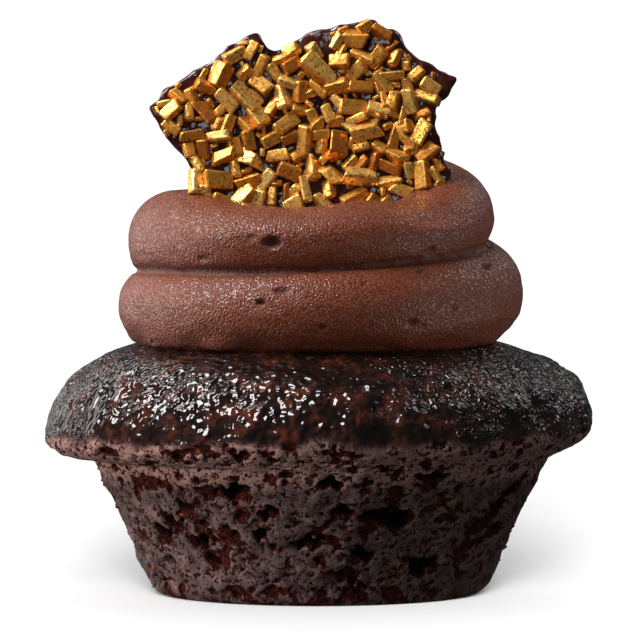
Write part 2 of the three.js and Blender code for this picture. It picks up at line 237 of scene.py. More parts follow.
class Finish:  # one material and its nodes
    def __init__(self, name):
        self.material = bpy.data.materials.new(name)
        self.material.use_nodes = True
        self.tree = self.material.node_tree
        self.tree.nodes.remove(self.tree.nodes["Principled BSDF"])
        self.place = self.node("ShaderNodeTexCoord", {}, {}, "Object")

    def node(self, kind, settings, inputs, output=0):
        made = self.tree.nodes.new(kind)
        for key, value in settings.items():
            if key == "stops":
                self.setStops(made.color_ramp, value)
            else:
                setattr(made, key, value)
        for key, value in inputs.items():
            self.feed(made.inputs[key], value)
        return Wire(self, made.outputs[output])

    def setStops(self, ramp, stops):
        while len(ramp.elements) < len(stops):
            ramp.elements.new(0.5)
        for element, (position, colour) in zip(ramp.elements, stops):
            element.position = position
            element.color = (*colour, 1)

    def feed(self, socket, value):
        if isinstance(value, Wire):
            self.tree.links.new(value.socket, socket)
        elif isinstance(value, tuple) and len(value) == 3 and socket.type == "RGBA":
            socket.default_value = (*value, 1)
        else:
            socket.default_value = value

    def shader(self, inputs):
        return self.node("ShaderNodeBsdfPrincipled", {}, inputs)

    def show(self, shader):
        self.feed(self.tree.nodes["Material Output"].inputs["Surface"], shader)
        return self.material

    def mark(self, name):
        return self.node("ShaderNodeAttribute", {"attribute_name": name}, {}, "Fac")

    def stretched(self, x, y, z):
        return self.node("ShaderNodeVectorMath", {"operation": "MULTIPLY"}, {0: self.place, 1: (x, y, z)})

    def noise(self, size, detail=3, rough=0.55, place=None, bend=0.0):  # size in millimetres
        return self.node(
            "ShaderNodeTexNoise", {},
            {"Vector": place or self.place, "Scale": 1 / (size * millimetre), "Detail": detail,
             "Roughness": rough, "Distortion": bend})

    def mix(self, factor, first, second):  # 6, 7 and 2 are the node's colour sockets
        return self.node("ShaderNodeMix", {"data_type": "RGBA"}, {0: factor, 6: first, 7: second}, 2)

    def ramp(self, value, stops):
        return self.node("ShaderNodeValToRGB", {"stops": stops}, {"Fac": value})

    def bump(self, height, distance, strength=1.0, over=None):  # distance in millimetres
        inputs = {"Height": height, "Distance": distance * millimetre, "Strength": strength}
        if over:
            inputs["Normal"] = over
        return self.node("ShaderNodeBump", {}, inputs)


# The sponge

sponge = {
    "footRadius": 23.9, "footRounding": 1.5, "footFlare": 0.7, "footRings": (0.3, 0.6, 0.8),
    "wallTopRadius": 32.8, "wallTopHeight": 20.2, "rimRadius": 39.7, "rimHeight": 24.6,
    "underRim": (2.7, 0.8), "rimBulge": (0.5, 1.2),  # the rim's bend, out and up from the wall's top
    "domeHeight": 39.5, "domeFullness": 2.35, "domeSamples": 2000,
    "frostedRadius": 29.0, "frostedFade": 6, "frostedMargin": 4,  # what the frosting covers of the dome
    "columns": 640, "footRows": 6, "wallRows": 74, "rimRows": 28, "domeRows": 46, "sunkenRows": 5,
    "swollenFrom": 9.0, "swollenShare": 0.92, "swollenAngle": -70.0,  # the wall under the rim's front
    "uneven": [(2, 0.25, 0.6), (3, 0.20, 2.1), (5, 0.15, 4)],  # waves round it, height and phase
    "rimTilt": 0.7, "rimDroop": 0.3, "rimFade": 3,
    "capSwell": 0.42, "capSwellSize": 7, "wallSwell": 0.30, "wallSwellSize": 5,
    "tearSeed": 11, "tears": 34, "tearSteepness": 2.2, "tearRoundness": 0.7,
    "tearSpans": [(4, 17.5), (1.44, 2.76), (0.85, 1.3), (1.0, 2.2)],  # height, half sizes, depth
    "tearRagged": [(0.35, 3.1, 5), (0.2, 7.3, 1)],  # height, waves along the tear, shift
    "tearsInFront": [  # degrees right of the front, height, half width, half height, depth
        (-21.5, 17.0, 2.5, 1.1, 2.6), (-16.9, 10.7, 1.1, 0.9, 2.2), (-3.3, 9.4, 2.7, 0.8, 2.6),
        (18.9, 12.9, 4.2, 1.5, 2.6), (2.8, 18.4, 1.8, 0.9, 1.6), (28.0, 19.0, 2.9, 0.7, 1.6),
        (51.0, 10.6, 2.0, 0.8, 2.2), (55.0, 13.2, 2.0, 0.9, 2.4), (59.0, 16.0, 2.2, 0.9, 2.2),
        (-38.0, 14.4, 1.6, 0.8, 1.2), (-47.0, 12.5, 1.4, 1.0, 1.2), (-34.0, 6.4, 1.2, 1.2, 1.0),
        (33.0, 6.2, 1.4, 0.8, 1.2), (10.0, 5.2, 1.2, 0.6, 1.0), (-16.3, 22.4, 1.4, 0.8, 1.2),
        (14.5, 28.8, 2.3, 1.2, 0.5), (-31.0, 22.8, 2.2, 0.8, 0.8), (6.0, 22.6, 3.0, 0.5, 0.6),
    ],
    # bubbles that the surface cuts open, and how deep they are
    "holes": {"spacing": 2.8, "share": 0.34, "seed": 101, "stretch": (1.3, 1.3, 0.8)}, "holeDepth": 0.85,
    "pores": {"spacing": 1.05, "share": 0.75, "seed": 131, "stretch": (1.2, 1.2, 0.9)}, "poreDepth": 0.38,
    "blisters": {"spacing": 3.4, "share": 0.10, "seed": 161}, "blisterDepth": 0.5,
    "pinholes": {"spacing": 1.2, "share": 0.25, "seed": 191}, "pinholeDepth": 0.16,
    # noise: its height, the size of its lumps, its seed, and its layers where there aren't three
    "web": (1, 2.2, 241), "webEdge": (0.24, 0.46), "webDepth": 0.5, "grain": (0.20, 1.3, 231, 2),
    "lumps": (0.40, 2.8, 211), "fineLumps": (0.14, 1.0, 221),
    "ragged": (1.5, 5.0, 251),  # the lower edge of the wet cap
    "capEdge": (-1.4, 0.4), "wallEdge": (0.5, -0.5), "footFade": (0.3, 2.0), "bandEdge": (16.5, 19.5),
    "openAt": 1.2, "holeShadeEdge": (0.7, 1.7),  # depths that are all crumb, and depths at which the holes are painted black as shade
    # the syrup is glossiest over two quarters, on the front's left and on the back's right
    "glossyAngle": -110.0, "glossy": (0.7, 9.0, 261), "glossyEdge": (-0.15, 0.40),

    "skinSize": 2.4, "crumbSize": 0.7, "pitSize": 0.9, "speckSize": 0.45, "surfaceGrain": 0.40,
    "skinColours": [
        (0.30, (0.040, 0.020, 0.018)), (0.50, (0.078, 0.051, 0.048)), (0.72, (0.145, 0.078, 0.066))],
    "bandColour": (0.225, 0.122, 0.102), "bandStrength": 0.8,
    "underSyrup": (0.030, 0.009, 0.006), "underSyrupStrength": 0.9,
    "crumbColours": [
        (0.36, (0.007, 0.002, 0.002)), (0.56, (0.036, 0.006, 0.004)), (0.68, (0.100, 0.016, 0.009)),
        (0.78, (0.300, 0.080, 0.020))],
    # painted shade: the black that fills the deep torn holes
    "holeShadeColour": (0.003, 0.001, 0.001),
    "syrupColours": [
        (0.35, (0.005, 0.003, 0.003)), (0.52, (0.011, 0.005, 0.004)), (0.66, (0.058, 0.014, 0.008))],
    "syrupSize": 3.0, "beadSize": 1.0, "wrinkleSize": 1.3, "wrinkleHeight": 2.2, "fineSize": 0.36,
    "pitEdge": (0.56, 0.60), "speckEdge": (0.60, 0.68), "tornEdge": (0.12, 0.34), "soakedEdge": (0.61, 0.69),
    "dryRoughness": 0.62, "dryBump": 0.55, "drySpecular": 0.25,
    "wetRoughness": 0.17, "wetBump": 0.62, "wetSpecular": 0.55, "glossyGain": 0.12,
}


def domeHeightAt(radius):
    share = np.minimum(radius / sponge["rimRadius"], 1)
    rise = (1 - share ** sponge["domeFullness"]) ** (1 / sponge["domeFullness"])
    return sponge["rimHeight"] + (sponge["domeHeight"] - sponge["rimHeight"]) * rise


def curveThrough(corners, count):  # points on a Bezier curve, without the first
    share = np.linspace(0, 1, count + 1)[1:, None]
    degree = len(corners) - 1
    return sum(
        math.comb(degree, k) * (1 - share) ** (degree - k) * share ** k * np.array(corner)
        for k, corner in enumerate(corners))


def spongeSection():  # radius and height from the middle of the foot to near the top of the dome
    s = sponge
    footTop = (s["footRadius"] + s["footFlare"], s["footRounding"])
    wallTop = (s["wallTopRadius"], s["wallTopHeight"])
    foot = [(s["footRadius"] * share, 0) for share in s["footRings"]]
    start = (s["footRadius"] - s["footRounding"], 0)
    corner = curveThrough([start, (s["footRadius"], 0), footTop], s["footRows"])
    wall = curveThrough([footTop, wallTop], s["wallRows"])
    under, bulge = s["underRim"], s["rimBulge"]
    rim = curveThrough(
        [wallTop, (wallTop[0] + under[0], wallTop[1] + under[1]),
         (s["rimRadius"] + bulge[0], wallTop[1] + bulge[1]), (s["rimRadius"], s["rimHeight"])], s["rimRows"])
    # even steps along the dome as far as the frosting covers it, then a few rows more
    turn = np.linspace(0, math.pi / 2, s["domeSamples"])
    radius = s["rimRadius"] * np.cos(turn) ** (2 / s["domeFullness"])
    height = domeHeightAt(radius)
    length = np.concatenate([[0], np.cumsum(np.hypot(np.diff(radius), np.diff(height)))])
    edge = np.interp(-(s["frostedRadius"] - s["frostedMargin"]), -radius, length)
    shown = np.linspace(0, edge, s["domeRows"] + 1)[1:]
    hidden = np.linspace(edge, length[-1], s["sunkenRows"] + 2)[1:-1]
    along = np.concatenate([shown, hidden])
    dome = np.stack([np.interp(along, length, radius), np.interp(along, length, height)], axis=1)
    return np.concatenate([np.array(foot), [start], corner, wall, rim, dome])


def wallSwelling(angle, radius, height):  # towards a straight line from the wall's middle to the rim
    s = sponge
    foot = s["footRadius"] + s["footFlare"]
    start = foot + (s["wallTopRadius"] - foot) * s["swollenFrom"] / s["wallTopHeight"]
    along = (height - s["swollenFrom"]) / (s["rimHeight"] - s["swollenFrom"])
    facing = np.maximum(0, np.cos(angle - math.radians(s["swollenAngle"]))) ** 2
    gain = s["swollenShare"] * facing * np.maximum(0, start + (s["rimRadius"] - start) * along - radius)
    return np.where((along < 0) | (along > 1), 0, gain)


def tearDepth(angle, height, radius):  # wide torn holes in the wall
    s = sponge
    draws = Draws(s["tearSeed"])
    tears = [(math.radians(degrees) - math.pi / 2, *rest) for degrees, *rest in s["tearsInFront"]]
    for _ in range(s["tears"]):
        turn = draws.next(0, 2 * math.pi)
        tears.append((turn, *[draws.next(*span) for span in s["tearSpans"]]))
    deepest = np.zeros(len(angle))
    for turn, level, halfWidth, halfHeight, depth in tears:
        across = np.arctan2(np.sin(angle - turn), np.cos(angle - turn)) * radius / halfWidth
        up = (height - level) / halfHeight
        ragged = sum(rise * np.sin(waves * across + shift * turn) for rise, waves, shift in s["tearRagged"])
        inside = 1 - across ** 2 - (up + ragged) ** 2
        opening = np.clip(inside * s["tearSteepness"], 0, 1) ** s["tearRoundness"]
        deepest = np.maximum(deepest, depth * opening)
    return deepest


def gridNormals(points, rows, columns):  # of a surface made of rows of points round the axis
    grid = points.reshape(rows, columns, 3)
    along = np.gradient(grid, axis=0)
    around = np.roll(grid, -1, axis=1) - np.roll(grid, 1, axis=1)
    normals = np.cross(around, along).reshape(-1, 3)
    return normals / np.maximum(np.linalg.norm(normals, axis=1), 1e-9)[:, None]


def withEnds(values):  # the first and last row's values again for the middle of the foot and of the dome
    return np.concatenate([values[:1], values, values[-1:]])


def makeSponge():
    s = sponge
    section = spongeSection()
    rows, columns = len(section), s["columns"]
    angle = np.tile(np.arange(columns) * 2 * math.pi / columns, rows)
    radius = np.repeat(section[:, 0], columns)
    height = np.repeat(section[:, 1], columns)
    cosine, sine = np.cos(angle), np.sin(angle)
    flat = pointsFrom(radius * cosine, radius * sine, height)
    onFoot = height == 0
    onDome = height > s["rimHeight"]
    onCap = height > s["wallTopHeight"]
    covered = 1 - smoothStep(radius, s["frostedRadius"], s["frostedRadius"] + s["frostedFade"])
    frosted = np.where(onDome, covered, 0)

    # the smooth surface: slow waves, and a rim that tilts and droops
    uneven = sum(rise * np.sin(waves * angle + phase) for waves, rise, phase in s["uneven"])
    rimShare = smoothStep(radius, s["wallTopRadius"] - s["rimFade"], s["rimRadius"])
    sag = (s["rimTilt"] * cosine + s["rimDroop"] * np.sin(3 * angle + 1)) * rimShare * (1 - frosted)
    lumps = np.where(onCap, s["capSwell"] * swell(flat, s["capSwellSize"]) * (1 - frosted),
                     s["wallSwell"] * swell(flat, s["wallSwellSize"]))
    swelling = np.where(onFoot, 0, (uneven * (1 - frosted) + lumps) * np.minimum(1, height / 2))
    outward = 1 - onDome * (1 - radius / s["rimRadius"])
    reach = radius + swelling * outward + wallSwelling(angle, radius, height)
    lift = np.where(onFoot, 0, sag + swelling * (1 - outward))
    points = pointsFrom(reach * cosine, reach * sine, height + lift)
    normals = gridNormals(points, rows, columns)

    # torn holes, pores and crumb on the wall, and a lumpy wet skin on the cap
    aboveFoot = smoothStep(height, *s["footFade"])
    lower, upper = s["wallEdge"]
    wall = aboveFoot * (1 - smoothStep(height, s["wallTopHeight"] + lower, s["rimHeight"] + upper))
    lower, upper = s["capEdge"]
    cap = smoothStep(height + layeredNoise(points, *s["ragged"]), s["rimHeight"] + lower,
                     s["rimHeight"] + upper)
    tears = tearDepth(angle, height, radius) * aboveFoot
    holes = hollows(points, **s["holes"])
    pores = hollows(points, **s["pores"])
    web = smoothStep(layeredNoise(points, *s["web"]), *s["webEdge"])
    wallPores = s["holeDepth"] * np.sqrt(holes) + s["poreDepth"] * np.sqrt(pores) + s["webDepth"] * web
    capPores = s["blisterDepth"] * np.sqrt(hollows(points, **s["blisters"]))
    capPores += s["pinholeDepth"] * np.sqrt(hollows(points, **s["pinholes"]))
    capLumps = layeredNoise(points, *s["lumps"]) + smoothNoise(points, *s["fineLumps"])
    depth = tears + np.maximum(wall, 1 - cap) * aboveFoot * (wallPores - layeredNoise(points, *s["grain"]))
    depth += cap * (1 - 0.8 * frosted) * (capPores - capLumps)
    points = points - normals * np.where(onFoot, 0, depth)[:, None]
    points[:, 2] = np.maximum(points[:, 2], 0)
    points = np.concatenate([[(0, 0, 0)], points, [(0, 0, s["domeHeight"])]])

    crumbShown = (1 - cap) * (0.9 * holes + 0.6 * pores + 0.7 * web)
    turned = np.cos(2 * (angle - math.radians(s["glossyAngle"])))
    turned += layeredNoise(flat, *s["glossy"])
    marks = {
        "pore": np.clip(tears / s["openAt"] + crumbShown + cap * capPores, 0, 1), "cap": cap,
        "glossy": smoothStep(turned, *s["glossyEdge"]),
        "band": smoothStep(height, *s["bandEdge"]) * (1 - cap), "hole": smoothStep(tears, *s["holeShadeEdge"]),
    }
    piece = makeMesh("crumb", points, lathedFaces(rows, columns),
                     {mark: withEnds(values) for mark, values in marks.items()})
    piece.data.materials.append(spongeFinish())
    return piece


def spongeFinish():
    s = sponge
    finish = Finish("moist dark sponge")
    cap = finish.mark("cap")
    skin = finish.ramp(finish.noise(s["skinSize"], 4), s["skinColours"])
    skin = finish.mix(s["bandStrength"] * finish.mark("band"), skin, s["bandColour"])
    skin = finish.mix(s["underSyrupStrength"] * cap, skin, s["underSyrup"])
    crumb = finish.ramp(finish.noise(s["crumbSize"], 3, 0.6), s["crumbColours"])
    # painted shade: the deepest tears are coloured black
    crumb = finish.mix(finish.mark("hole"), crumb, s["holeShadeColour"])
    pits = finish.noise(s["pitSize"], 3, 0.6).between(*s["pitEdge"])
    specks = finish.noise(s["speckSize"], 1).between(*s["speckEdge"])
    torn = finish.mark("pore").between(*s["tornEdge"])
    opened = torn.most(pits).most(0.7 * specks)
    grain = finish.noise(s["surfaceGrain"], 2, 0.6)
    relief = 0.35 * grain - 0.8 * pits - 0.35 * specks
    dry = finish.shader({
        "Base Color": finish.mix(opened, skin, crumb), "Roughness": s["dryRoughness"] + 0.2 * grain,
        "Normal": finish.bump(relief, s["dryBump"]), "Specular IOR Level": s["drySpecular"]})

    # drops of syrup where it is glossy, and thin creases where it has dried
    syrup = finish.ramp(finish.noise(s["syrupSize"], 5, 0.65), s["syrupColours"])
    glossy = finish.mark("glossy")
    beads = finish.noise(s["beadSize"], 0, 0.5)
    crease = finish.noise(s["wrinkleSize"], 1, 0.5, bend=0.8) - 0.5
    wrinkles = s["wrinkleHeight"] * crease.maths("ABSOLUTE", crease)
    fine = 0.05 * finish.noise(s["fineSize"], 1, 0.5)
    wet = finish.shader({
        "Base Color": finish.mix(torn, syrup, crumb),
        "Roughness": s["wetRoughness"] + 0.05 * grain - s["glossyGain"] * glossy,
        "Normal": finish.bump(beads * (0.3 + 0.7 * glossy) + wrinkles * (1 - glossy) + fine, s["wetBump"]),
        "Specular IOR Level": s["wetSpecular"]})
    soaked = finish.noise(s["skinSize"], 4, 0.6).between(*s["soakedEdge"], 1.0, 0.2)
    wetShare = cap * (1 - torn) * soaked
    return finish.show(finish.node("ShaderNodeMixShader", {}, {0: wetShare, 1: dry, 2: wet}))


crumbs = {
    "count": 700, "seed": 501, "smallest": 0.25, "largest": 0.85, "rarity": 4,  # few are large
    "low": 0.9, "high": 20.5, "outermost": 34.0, "lumpy": 0.3, "sunk": 0.25,
    "stretch": [(0.6, 1.5), (0.5, 1.0), (0.35, 0.8)],
    "colours": [
        (0.0, (0.030, 0.012, 0.010)), (0.55, (0.075, 0.042, 0.036)), (0.85, (0.110, 0.036, 0.020)),
        (0.97, (0.190, 0.065, 0.024))],
    "darkColour": (0.012, 0.004, 0.003), "grainSize": 0.35,
}


def makeCrumbs(crumb):  # chips that cling to the torn wall
    c = crumbs
    shape = bmesh.new()
    bmesh.ops.create_icosphere(shape, subdivisions=1, radius=1)
    unit = np.array([vertex.co for vertex in shape.verts])
    unitFaces = np.array([[vertex.index for vertex in face.verts] for face in shape.faces])
    shape.free()
    points = readPoints(crumb)
    normals = readNormals(crumb)
    radius = np.hypot(points[:, 0], points[:, 1])
    wall = np.flatnonzero(
        (points[:, 2] > c["low"]) & (points[:, 2] < c["high"]) & (radius > sponge["footRadius"])
        & (radius < c["outermost"]))
    draws = Draws(c["seed"])
    chips = []
    tones = []
    for _ in range(c["count"]):
        k = wall[int(draws.next(0, len(wall)))]
        size = c["smallest"] + (c["largest"] - c["smallest"]) * draws.next() ** c["rarity"]
        stretch = np.array([draws.next(*span) for span in c["stretch"]]) * size
        turn = Matrix.Rotation(draws.next(0, math.pi), 3, (draws.next(-1, 1), draws.next(-1, 1), 1))
        lumpy = np.array([1 + draws.next(-c["lumpy"], c["lumpy"]) for _ in unit])[:, None]
        chips.append(unit * lumpy * stretch @ np.array(turn).T + points[k] - normals[k] * size * c["sunk"])
        tones.append(np.full(len(unit), draws.next()))
    faces = [unitFaces + k * len(unit) for k in range(c["count"])]
    placed = np.concatenate(chips)
    placed[:, 2] = np.maximum(placed[:, 2], 0)
    piece = makeMesh("crumbs", placed, np.concatenate(faces), {"tone": np.concatenate(tones)})
    piece.data.materials.append(crumbsFinish())
    return piece


def crumbsFinish():
    finish = Finish("loose crumb")
    colour = finish.ramp(finish.mark("tone"), crumbs["colours"])
    grain = finish.noise(crumbs["grainSize"], 2)
    shaded = finish.mix(grain.between(0.3, 0.6), crumbs["darkColour"], colour)
    return finish.show(finish.shader({
        "Base Color": shaded, "Roughness": 0.6 + 0.2 * grain, "Normal": finish.bump(grain, 0.15),
        "Specular IOR Level": 0.3}))


# The frosting

frosting = {
    "fullness": 2.15, "ropeStart": -0.25, "ropeEnd": 0.05, "stepsATurn": 320, "roundSteps": 72, "voxel": 0.34,
    "lumpRows": 40,
    "core": {"place": (0, 0), "radius": 20.0, "height": 45.0, "rise": 10.0, "taper": 1.0, "columns": 96},
    "tip": {"place": (1.5, 4.2), "radius": 10.8, "height": 60.0, "rise": 10.0, "taper": 1.6, "columns": 72},
    "quarters": [  # reach, height, half width and half height at every quarter turn from the back
        (28.6, 41.4, 7.6, 5.4), (29.3, 42.0, 8.0, 6.7), (29.7, 42.6, 8.0, 6.7), (29.9, 44.2, 8.4, 7.9),
        (28.6, 48.6, 8.2, 7.2), (27.9, 51.7, 7.9, 7.5), (27.0, 52.2, 7.6, 5.9), (25.6, 55.5, 7.6, 7.1),
        (21.6, 60.0, 7.2, 6.3), (14.8, 62.6, 6.4, 5.4), (5.6, 64.0, 5.0, 4.4),
    ],
    "smoothRounds": 3, "grooveRounds": 24, "grooveLimit": 0.5, "grooveDepth": 1.6,
    "shadeRounds": 26, "shadeGain": 3.0,
    "dips": [(-15.0, 32.0, 0.8), (43.0, 17.0, 1.9)],  # degrees right of the front, width, depth
    "dipHeights": (53.0, 57.5), "dipRadii": (11.0, 16.0),
    "sunk": 0.25, "shownEdge": (0.2, 1.5),  # how far the underside sits in the sponge's crumb
    # noise: its height, the size of its lumps and its seed
    "waves": (0.30, 11, 301), "skirt": (0.8, 4.5, 351), "skirtEdge": (0.5, 4.5), "skirtStretch": 0.2,
    "strokes": (0.16, 2.6, 311), "fineStrokes": (0.05, 0.9, 321), "strokeStretch": 0.22, "strokeSlant": 0.8,
    # bubbles that the surface cuts open, and how deep they are
    "bubbles": {"spacing": 7.0, "share": 0.20, "seed": 331, "stretch": (1.4, 1.4, 0.8),
                "smallest": 0.05, "largest": 0.17}, "bubbleDepth": 0.6,
    "pinholes": {"spacing": 3.0, "share": 0.20, "seed": 341, "stretch": (1.3, 1.3, 0.8),
                 "smallest": 0.08, "largest": 0.2}, "pinholeDepth": 0.3,
    "bubblesInFront": [  # right of the axis, height, half width, half height, depth
        (-6.7, 52.5, 1.45, 0.85, 1.0), (-5.3, 45.8, 1.30, 0.45, 0.5), (-8.4, 44.1, 0.85, 0.45, 0.7),
        (14.5, 48.4, 0.75, 0.45, 0.5), (24.2, 48.6, 0.80, 0.45, 0.5), (13.3, 41.1, 0.85, 0.50, 0.6),
        (0.3, 40.5, 0.70, 0.45, 0.5), (-16.5, 50.0, 0.90, 0.40, 0.3), (19.5, 43.0, 0.50, 0.35, 0.4),
        (6.4, 46.6, 0.45, 0.30, 0.35), (-18.6, 36.7, 1.4, 0.7, 0.8),
    ],

    "streakSize": 1.8, "grainSize": 0.28, "dropletSize": 0.42, "dropletEdge": (0.46, 0.56),
    "creamColours": [
        (0.25, (0.084, 0.016, 0.005)), (0.50, (0.107, 0.020, 0.006)), (0.75, (0.133, 0.029, 0.010))],
    # darkColour here is painted shade, for the grooves and the bubbles
    "fatColour": (0.150, 0.036, 0.014), "darkColour": (0.050, 0.016, 0.010),
    "roughness": 0.72, "dropletGain": 0.60, "specular": 0.42, "grainBump": 0.17, "streakBump": 0.20,
    "softness": 0.12,
}


def ropeAt(turns):  # the rope's middle and half sizes after so many turns
    quarters = frosting["quarters"]
    last = len(quarters) - 1
    place = (turns - frosting["ropeStart"]) * 4
    reach, height, halfWidth, halfHeight = alongCurve(quarters, place)
    fromEnd = min(place, last - place) / 4 / frosting["ropeEnd"]
    rounding = math.sqrt(max(1 - (1 - min(fromEnd, 1)) ** 2, 0))
    return reach - halfWidth, height, halfWidth * rounding, halfHeight * rounding


def roundedRing(count, fullness):  # a rounded square ring, from -1 to 1 each way
    turn = np.arange(count) * 2 * math.pi / count
    ring = np.stack([np.cos(turn), np.sin(turn)], axis=1)
    return np.sign(ring) * np.abs(ring) ** (2 / fullness)


def spunLump(lump):  # a closed round lump about an upright axis
    x, y = lump["place"]
    columns = lump["columns"]
    turn = np.arange(columns) * 2 * math.pi / columns
    rows = []
    for slope in np.linspace(-math.pi / 2, math.pi / 2, frosting["lumpRows"])[1:-1]:
        radius = lump["radius"] * math.cos(slope) ** lump["taper"]
        height = lump["height"] + lump["rise"] * math.sin(slope)
        rows.append(pointsFrom(x + radius * np.cos(turn), y + radius * np.sin(turn), height))
    foot = [(x, y, lump["height"] - lump["rise"])]
    top = [(x, y, lump["height"] + lump["rise"])]
    return np.concatenate([foot, *rows, top]), lathedFaces(len(rows), columns)


def makeSwirlCore():  # the rope as one tube, and two lumps that fill its middle
    f = frosting
    ring = roundedRing(f["roundSteps"], f["fullness"])
    turns = (len(f["quarters"]) - 1) / 4
    count = round(turns * f["stepsATurn"])
    rows = []
    for i in range(1, count):
        now = f["ropeStart"] + turns * i / count
        middle, height, halfWidth, halfHeight = ropeAt(now)
        angle = math.pi + now * 2 * math.pi
        radius = middle + halfWidth * ring[:, 0]
        rows.append(pointsFrom(
            radius * math.cos(angle), radius * math.sin(angle), height + halfHeight * ring[:, 1]))
    start, end = rows[0].mean(axis=0)[None], rows[-1].mean(axis=0)[None]
    rope = np.concatenate([start, *rows, end]), lathedFaces(len(rows), len(ring))
    points = []
    faces = []
    for partPoints, partFaces in (rope, spunLump(f["core"]), spunLump(f["tip"])):
        first = sum(len(p) for p in points)
        points.append(partPoints)
        faces += [tuple(first + k for k in face) for face in partFaces]
    return makeMesh("swirl", np.concatenate(points), faces)


def makeFrosting():
    f = frosting
    piece = makeSwirlCore()
    remesh(piece, f["voxel"])
    writePoints(piece, relaxed(piece, f["smoothRounds"]))
    points = readPoints(piece)
    normals = readNormals(piece)

    # what smoothing would fill is the groove between coils, cut deeper here and given painted shade in its
    # colour
    fill = np.sum((relaxed(piece, f["grooveRounds"]) - points) * normals, axis=1)
    groove = np.clip(fill, 0, f["grooveLimit"])
    fill = np.sum((relaxed(piece, f["shadeRounds"]) - points) * normals, axis=1)
    paintedGrooveShade = np.clip(f["shadeGain"] * fill, 0, 1)
    points = points - normals * f["grooveDepth"] * groove[:, None]

    radius = np.hypot(points[:, 0], points[:, 1])
    turned = np.degrees(np.arctan2(points[:, 0], -points[:, 1]))
    onRidge = smoothStep(points[:, 2], *f["dipHeights"]) * smoothStep(radius, *f["dipRadii"])
    for degrees, width, depth in f["dips"]:
        points[:, 2] -= depth * np.exp(-((turned - degrees) / width) ** 2) * onRidge
    floorHeight = domeHeightAt(radius) - f["sunk"]
    above = points[:, 2] - floorHeight
    shown = smoothStep(above, *f["shownEdge"])

    # strokes run round the axis: their pattern barely changes along the rope
    slow = f["strokeStretch"]
    strokes = pointsFrom(
        points[:, 0] * slow, points[:, 1] * slow, points[:, 2] + f["strokeSlant"] * radius)
    relief = smoothNoise(points, *f["waves"]) + smoothNoise(strokes, *f["strokes"])
    relief += smoothNoise(strokes, *f["fineStrokes"])
    skirt = smoothNoise(points * (1, 1, f["skirtStretch"]), *f["skirt"])
    relief += skirt * (1 - smoothStep(above, *f["skirtEdge"]))
    bubbles = f["bubbleDepth"] * np.sqrt(hollows(points, **f["bubbles"]))
    bubbles += f["pinholeDepth"] * np.sqrt(hollows(points, **f["pinholes"]))
    facing = (normals[:, 1] < -0.1) & (points[:, 1] < 0)
    for x, z, halfWidth, halfHeight, depth in f["bubblesInFront"]:
        inside = 1 - ((points[:, 0] - x) / halfWidth) ** 2 - ((points[:, 2] - z) / halfHeight) ** 2
        bubbles = np.maximum(bubbles, np.where(facing, depth * np.sqrt(np.clip(inside, 0, 1)), 0))
    points += normals * ((relief - bubbles) * shown)[:, None]
    points[:, 2] = np.maximum(points[:, 2], floorHeight)
    writePoints(piece, points)
    # the bubble and groove marks paint shade into the frosting's colour
    setMark(piece.data, "bubble", np.clip(bubbles * shown / f["bubbleDepth"], 0, 1))
    setMark(piece.data, "groove", paintedGrooveShade)
    piece.data.materials.append(frostingFinish())
    return piece


def frostingFinish():
    f = frosting
    finish = Finish("chocolate frosting")
    bubble = finish.mark("bubble")
    groove = finish.mark("groove")
    streaks = finish.noise(f["streakSize"], 2, 0.5, finish.stretched(0.5, 0.5, 1.0))
    grain = finish.noise(f["grainSize"], 0, 0.5)
    droplets = finish.noise(f["dropletSize"], 0, 0.5).between(*f["dropletEdge"])
    cream = finish.ramp(streaks, f["creamColours"])
    fat = finish.mix(grain.between(0.35, 0.65), cream, f["fatColour"])
    # painted shade: grooves and bubbles darkened in the base colour
    paintedShade = (0.65 * bubble).most(0.75 * groove)
    raised = finish.bump(grain, f["grainBump"])
    raised = finish.bump(streaks, f["streakBump"], 0.5, raised)
    rough = (f["roughness"] - f["dropletGain"] * droplets).most(0.9 * groove.most(bubble))
    return finish.show(finish.shader({
        "Base Color": finish.mix(paintedShade, fat, f["darkColour"]), "Roughness": rough, "Normal": raised,
        "Specular IOR Level": f["specular"], "Subsurface Weight": f["softness"],
        "Subsurface Radius": (1.0, 0.5, 0.3), "Subsurface Scale": millimetre}))


# The shard

shard = {
    "forward": 8.5, "pivotHeight": 55.0, "leanBack": 6.0, "thickness": 2.6, "voxel": 0.24, "smoothRounds": 8,
    "outline": [  # right of the axis and above the pivot, anticlockwise from the foot's right end
        (16.5, 1.2), (17.6, 4.4), (19.2, 6.4), (17.8, 9.2), (17.6, 11.6), (16.6, 13.2), (16.9, 16.0),
        (18.9, 18.8), (20.1, 20.6), (18.2, 21.0), (16.0, 22.6), (14.3, 23.2), (12.6, 25.2), (11.2, 27.4),
        (9.2, 28.2), (7.8, 29.6), (4.6, 28.6), (1.8, 27.8), (-1.4, 27.0), (-4.4, 25.6), (-7.0, 25.0),
        (-8.8, 27.2), (-10.8, 26.6), (-13.2, 25.4), (-15.6, 23.2), (-18.8, 21.2), (-21.4, 19.6),
        (-24.0, 17.4), (-24.9, 16.2), (-23.6, 14.4), (-22.8, 12.6), (-20.8, 10.4), (-18.8, 7.6),
        (-18.6, 5.0), (-19.3, 2.6),
    ],
    "footLeft": -18.6, "footRight": 15.6, "footDepth": 3.4,
    "drips": (0.50, 3.2, 401), "fineDrips": (0.32, 1.5, 411),  # noise: height, size and seed

    "mottleSize": 2.2, "rippleSize": 1.6, "rippleBump": 0.50, "roughness": 0.12, "roughSpread": 0.10,
    "colours": [
        (0.3, (0.016, 0.003, 0.002)), (0.55, (0.040, 0.008, 0.005)), (0.8, (0.075, 0.016, 0.010))],
}


def standUp(points):  # from the shard's own upright plane to where it stands
    lean = math.radians(-shard["leanBack"])
    cosine, sine = math.cos(lean), math.sin(lean)
    y = points[:, 1] * cosine - points[:, 2] * sine - shard["forward"]
    z = points[:, 1] * sine + points[:, 2] * cosine + shard["pivotHeight"]
    return pointsFrom(points[:, 0], y, z)


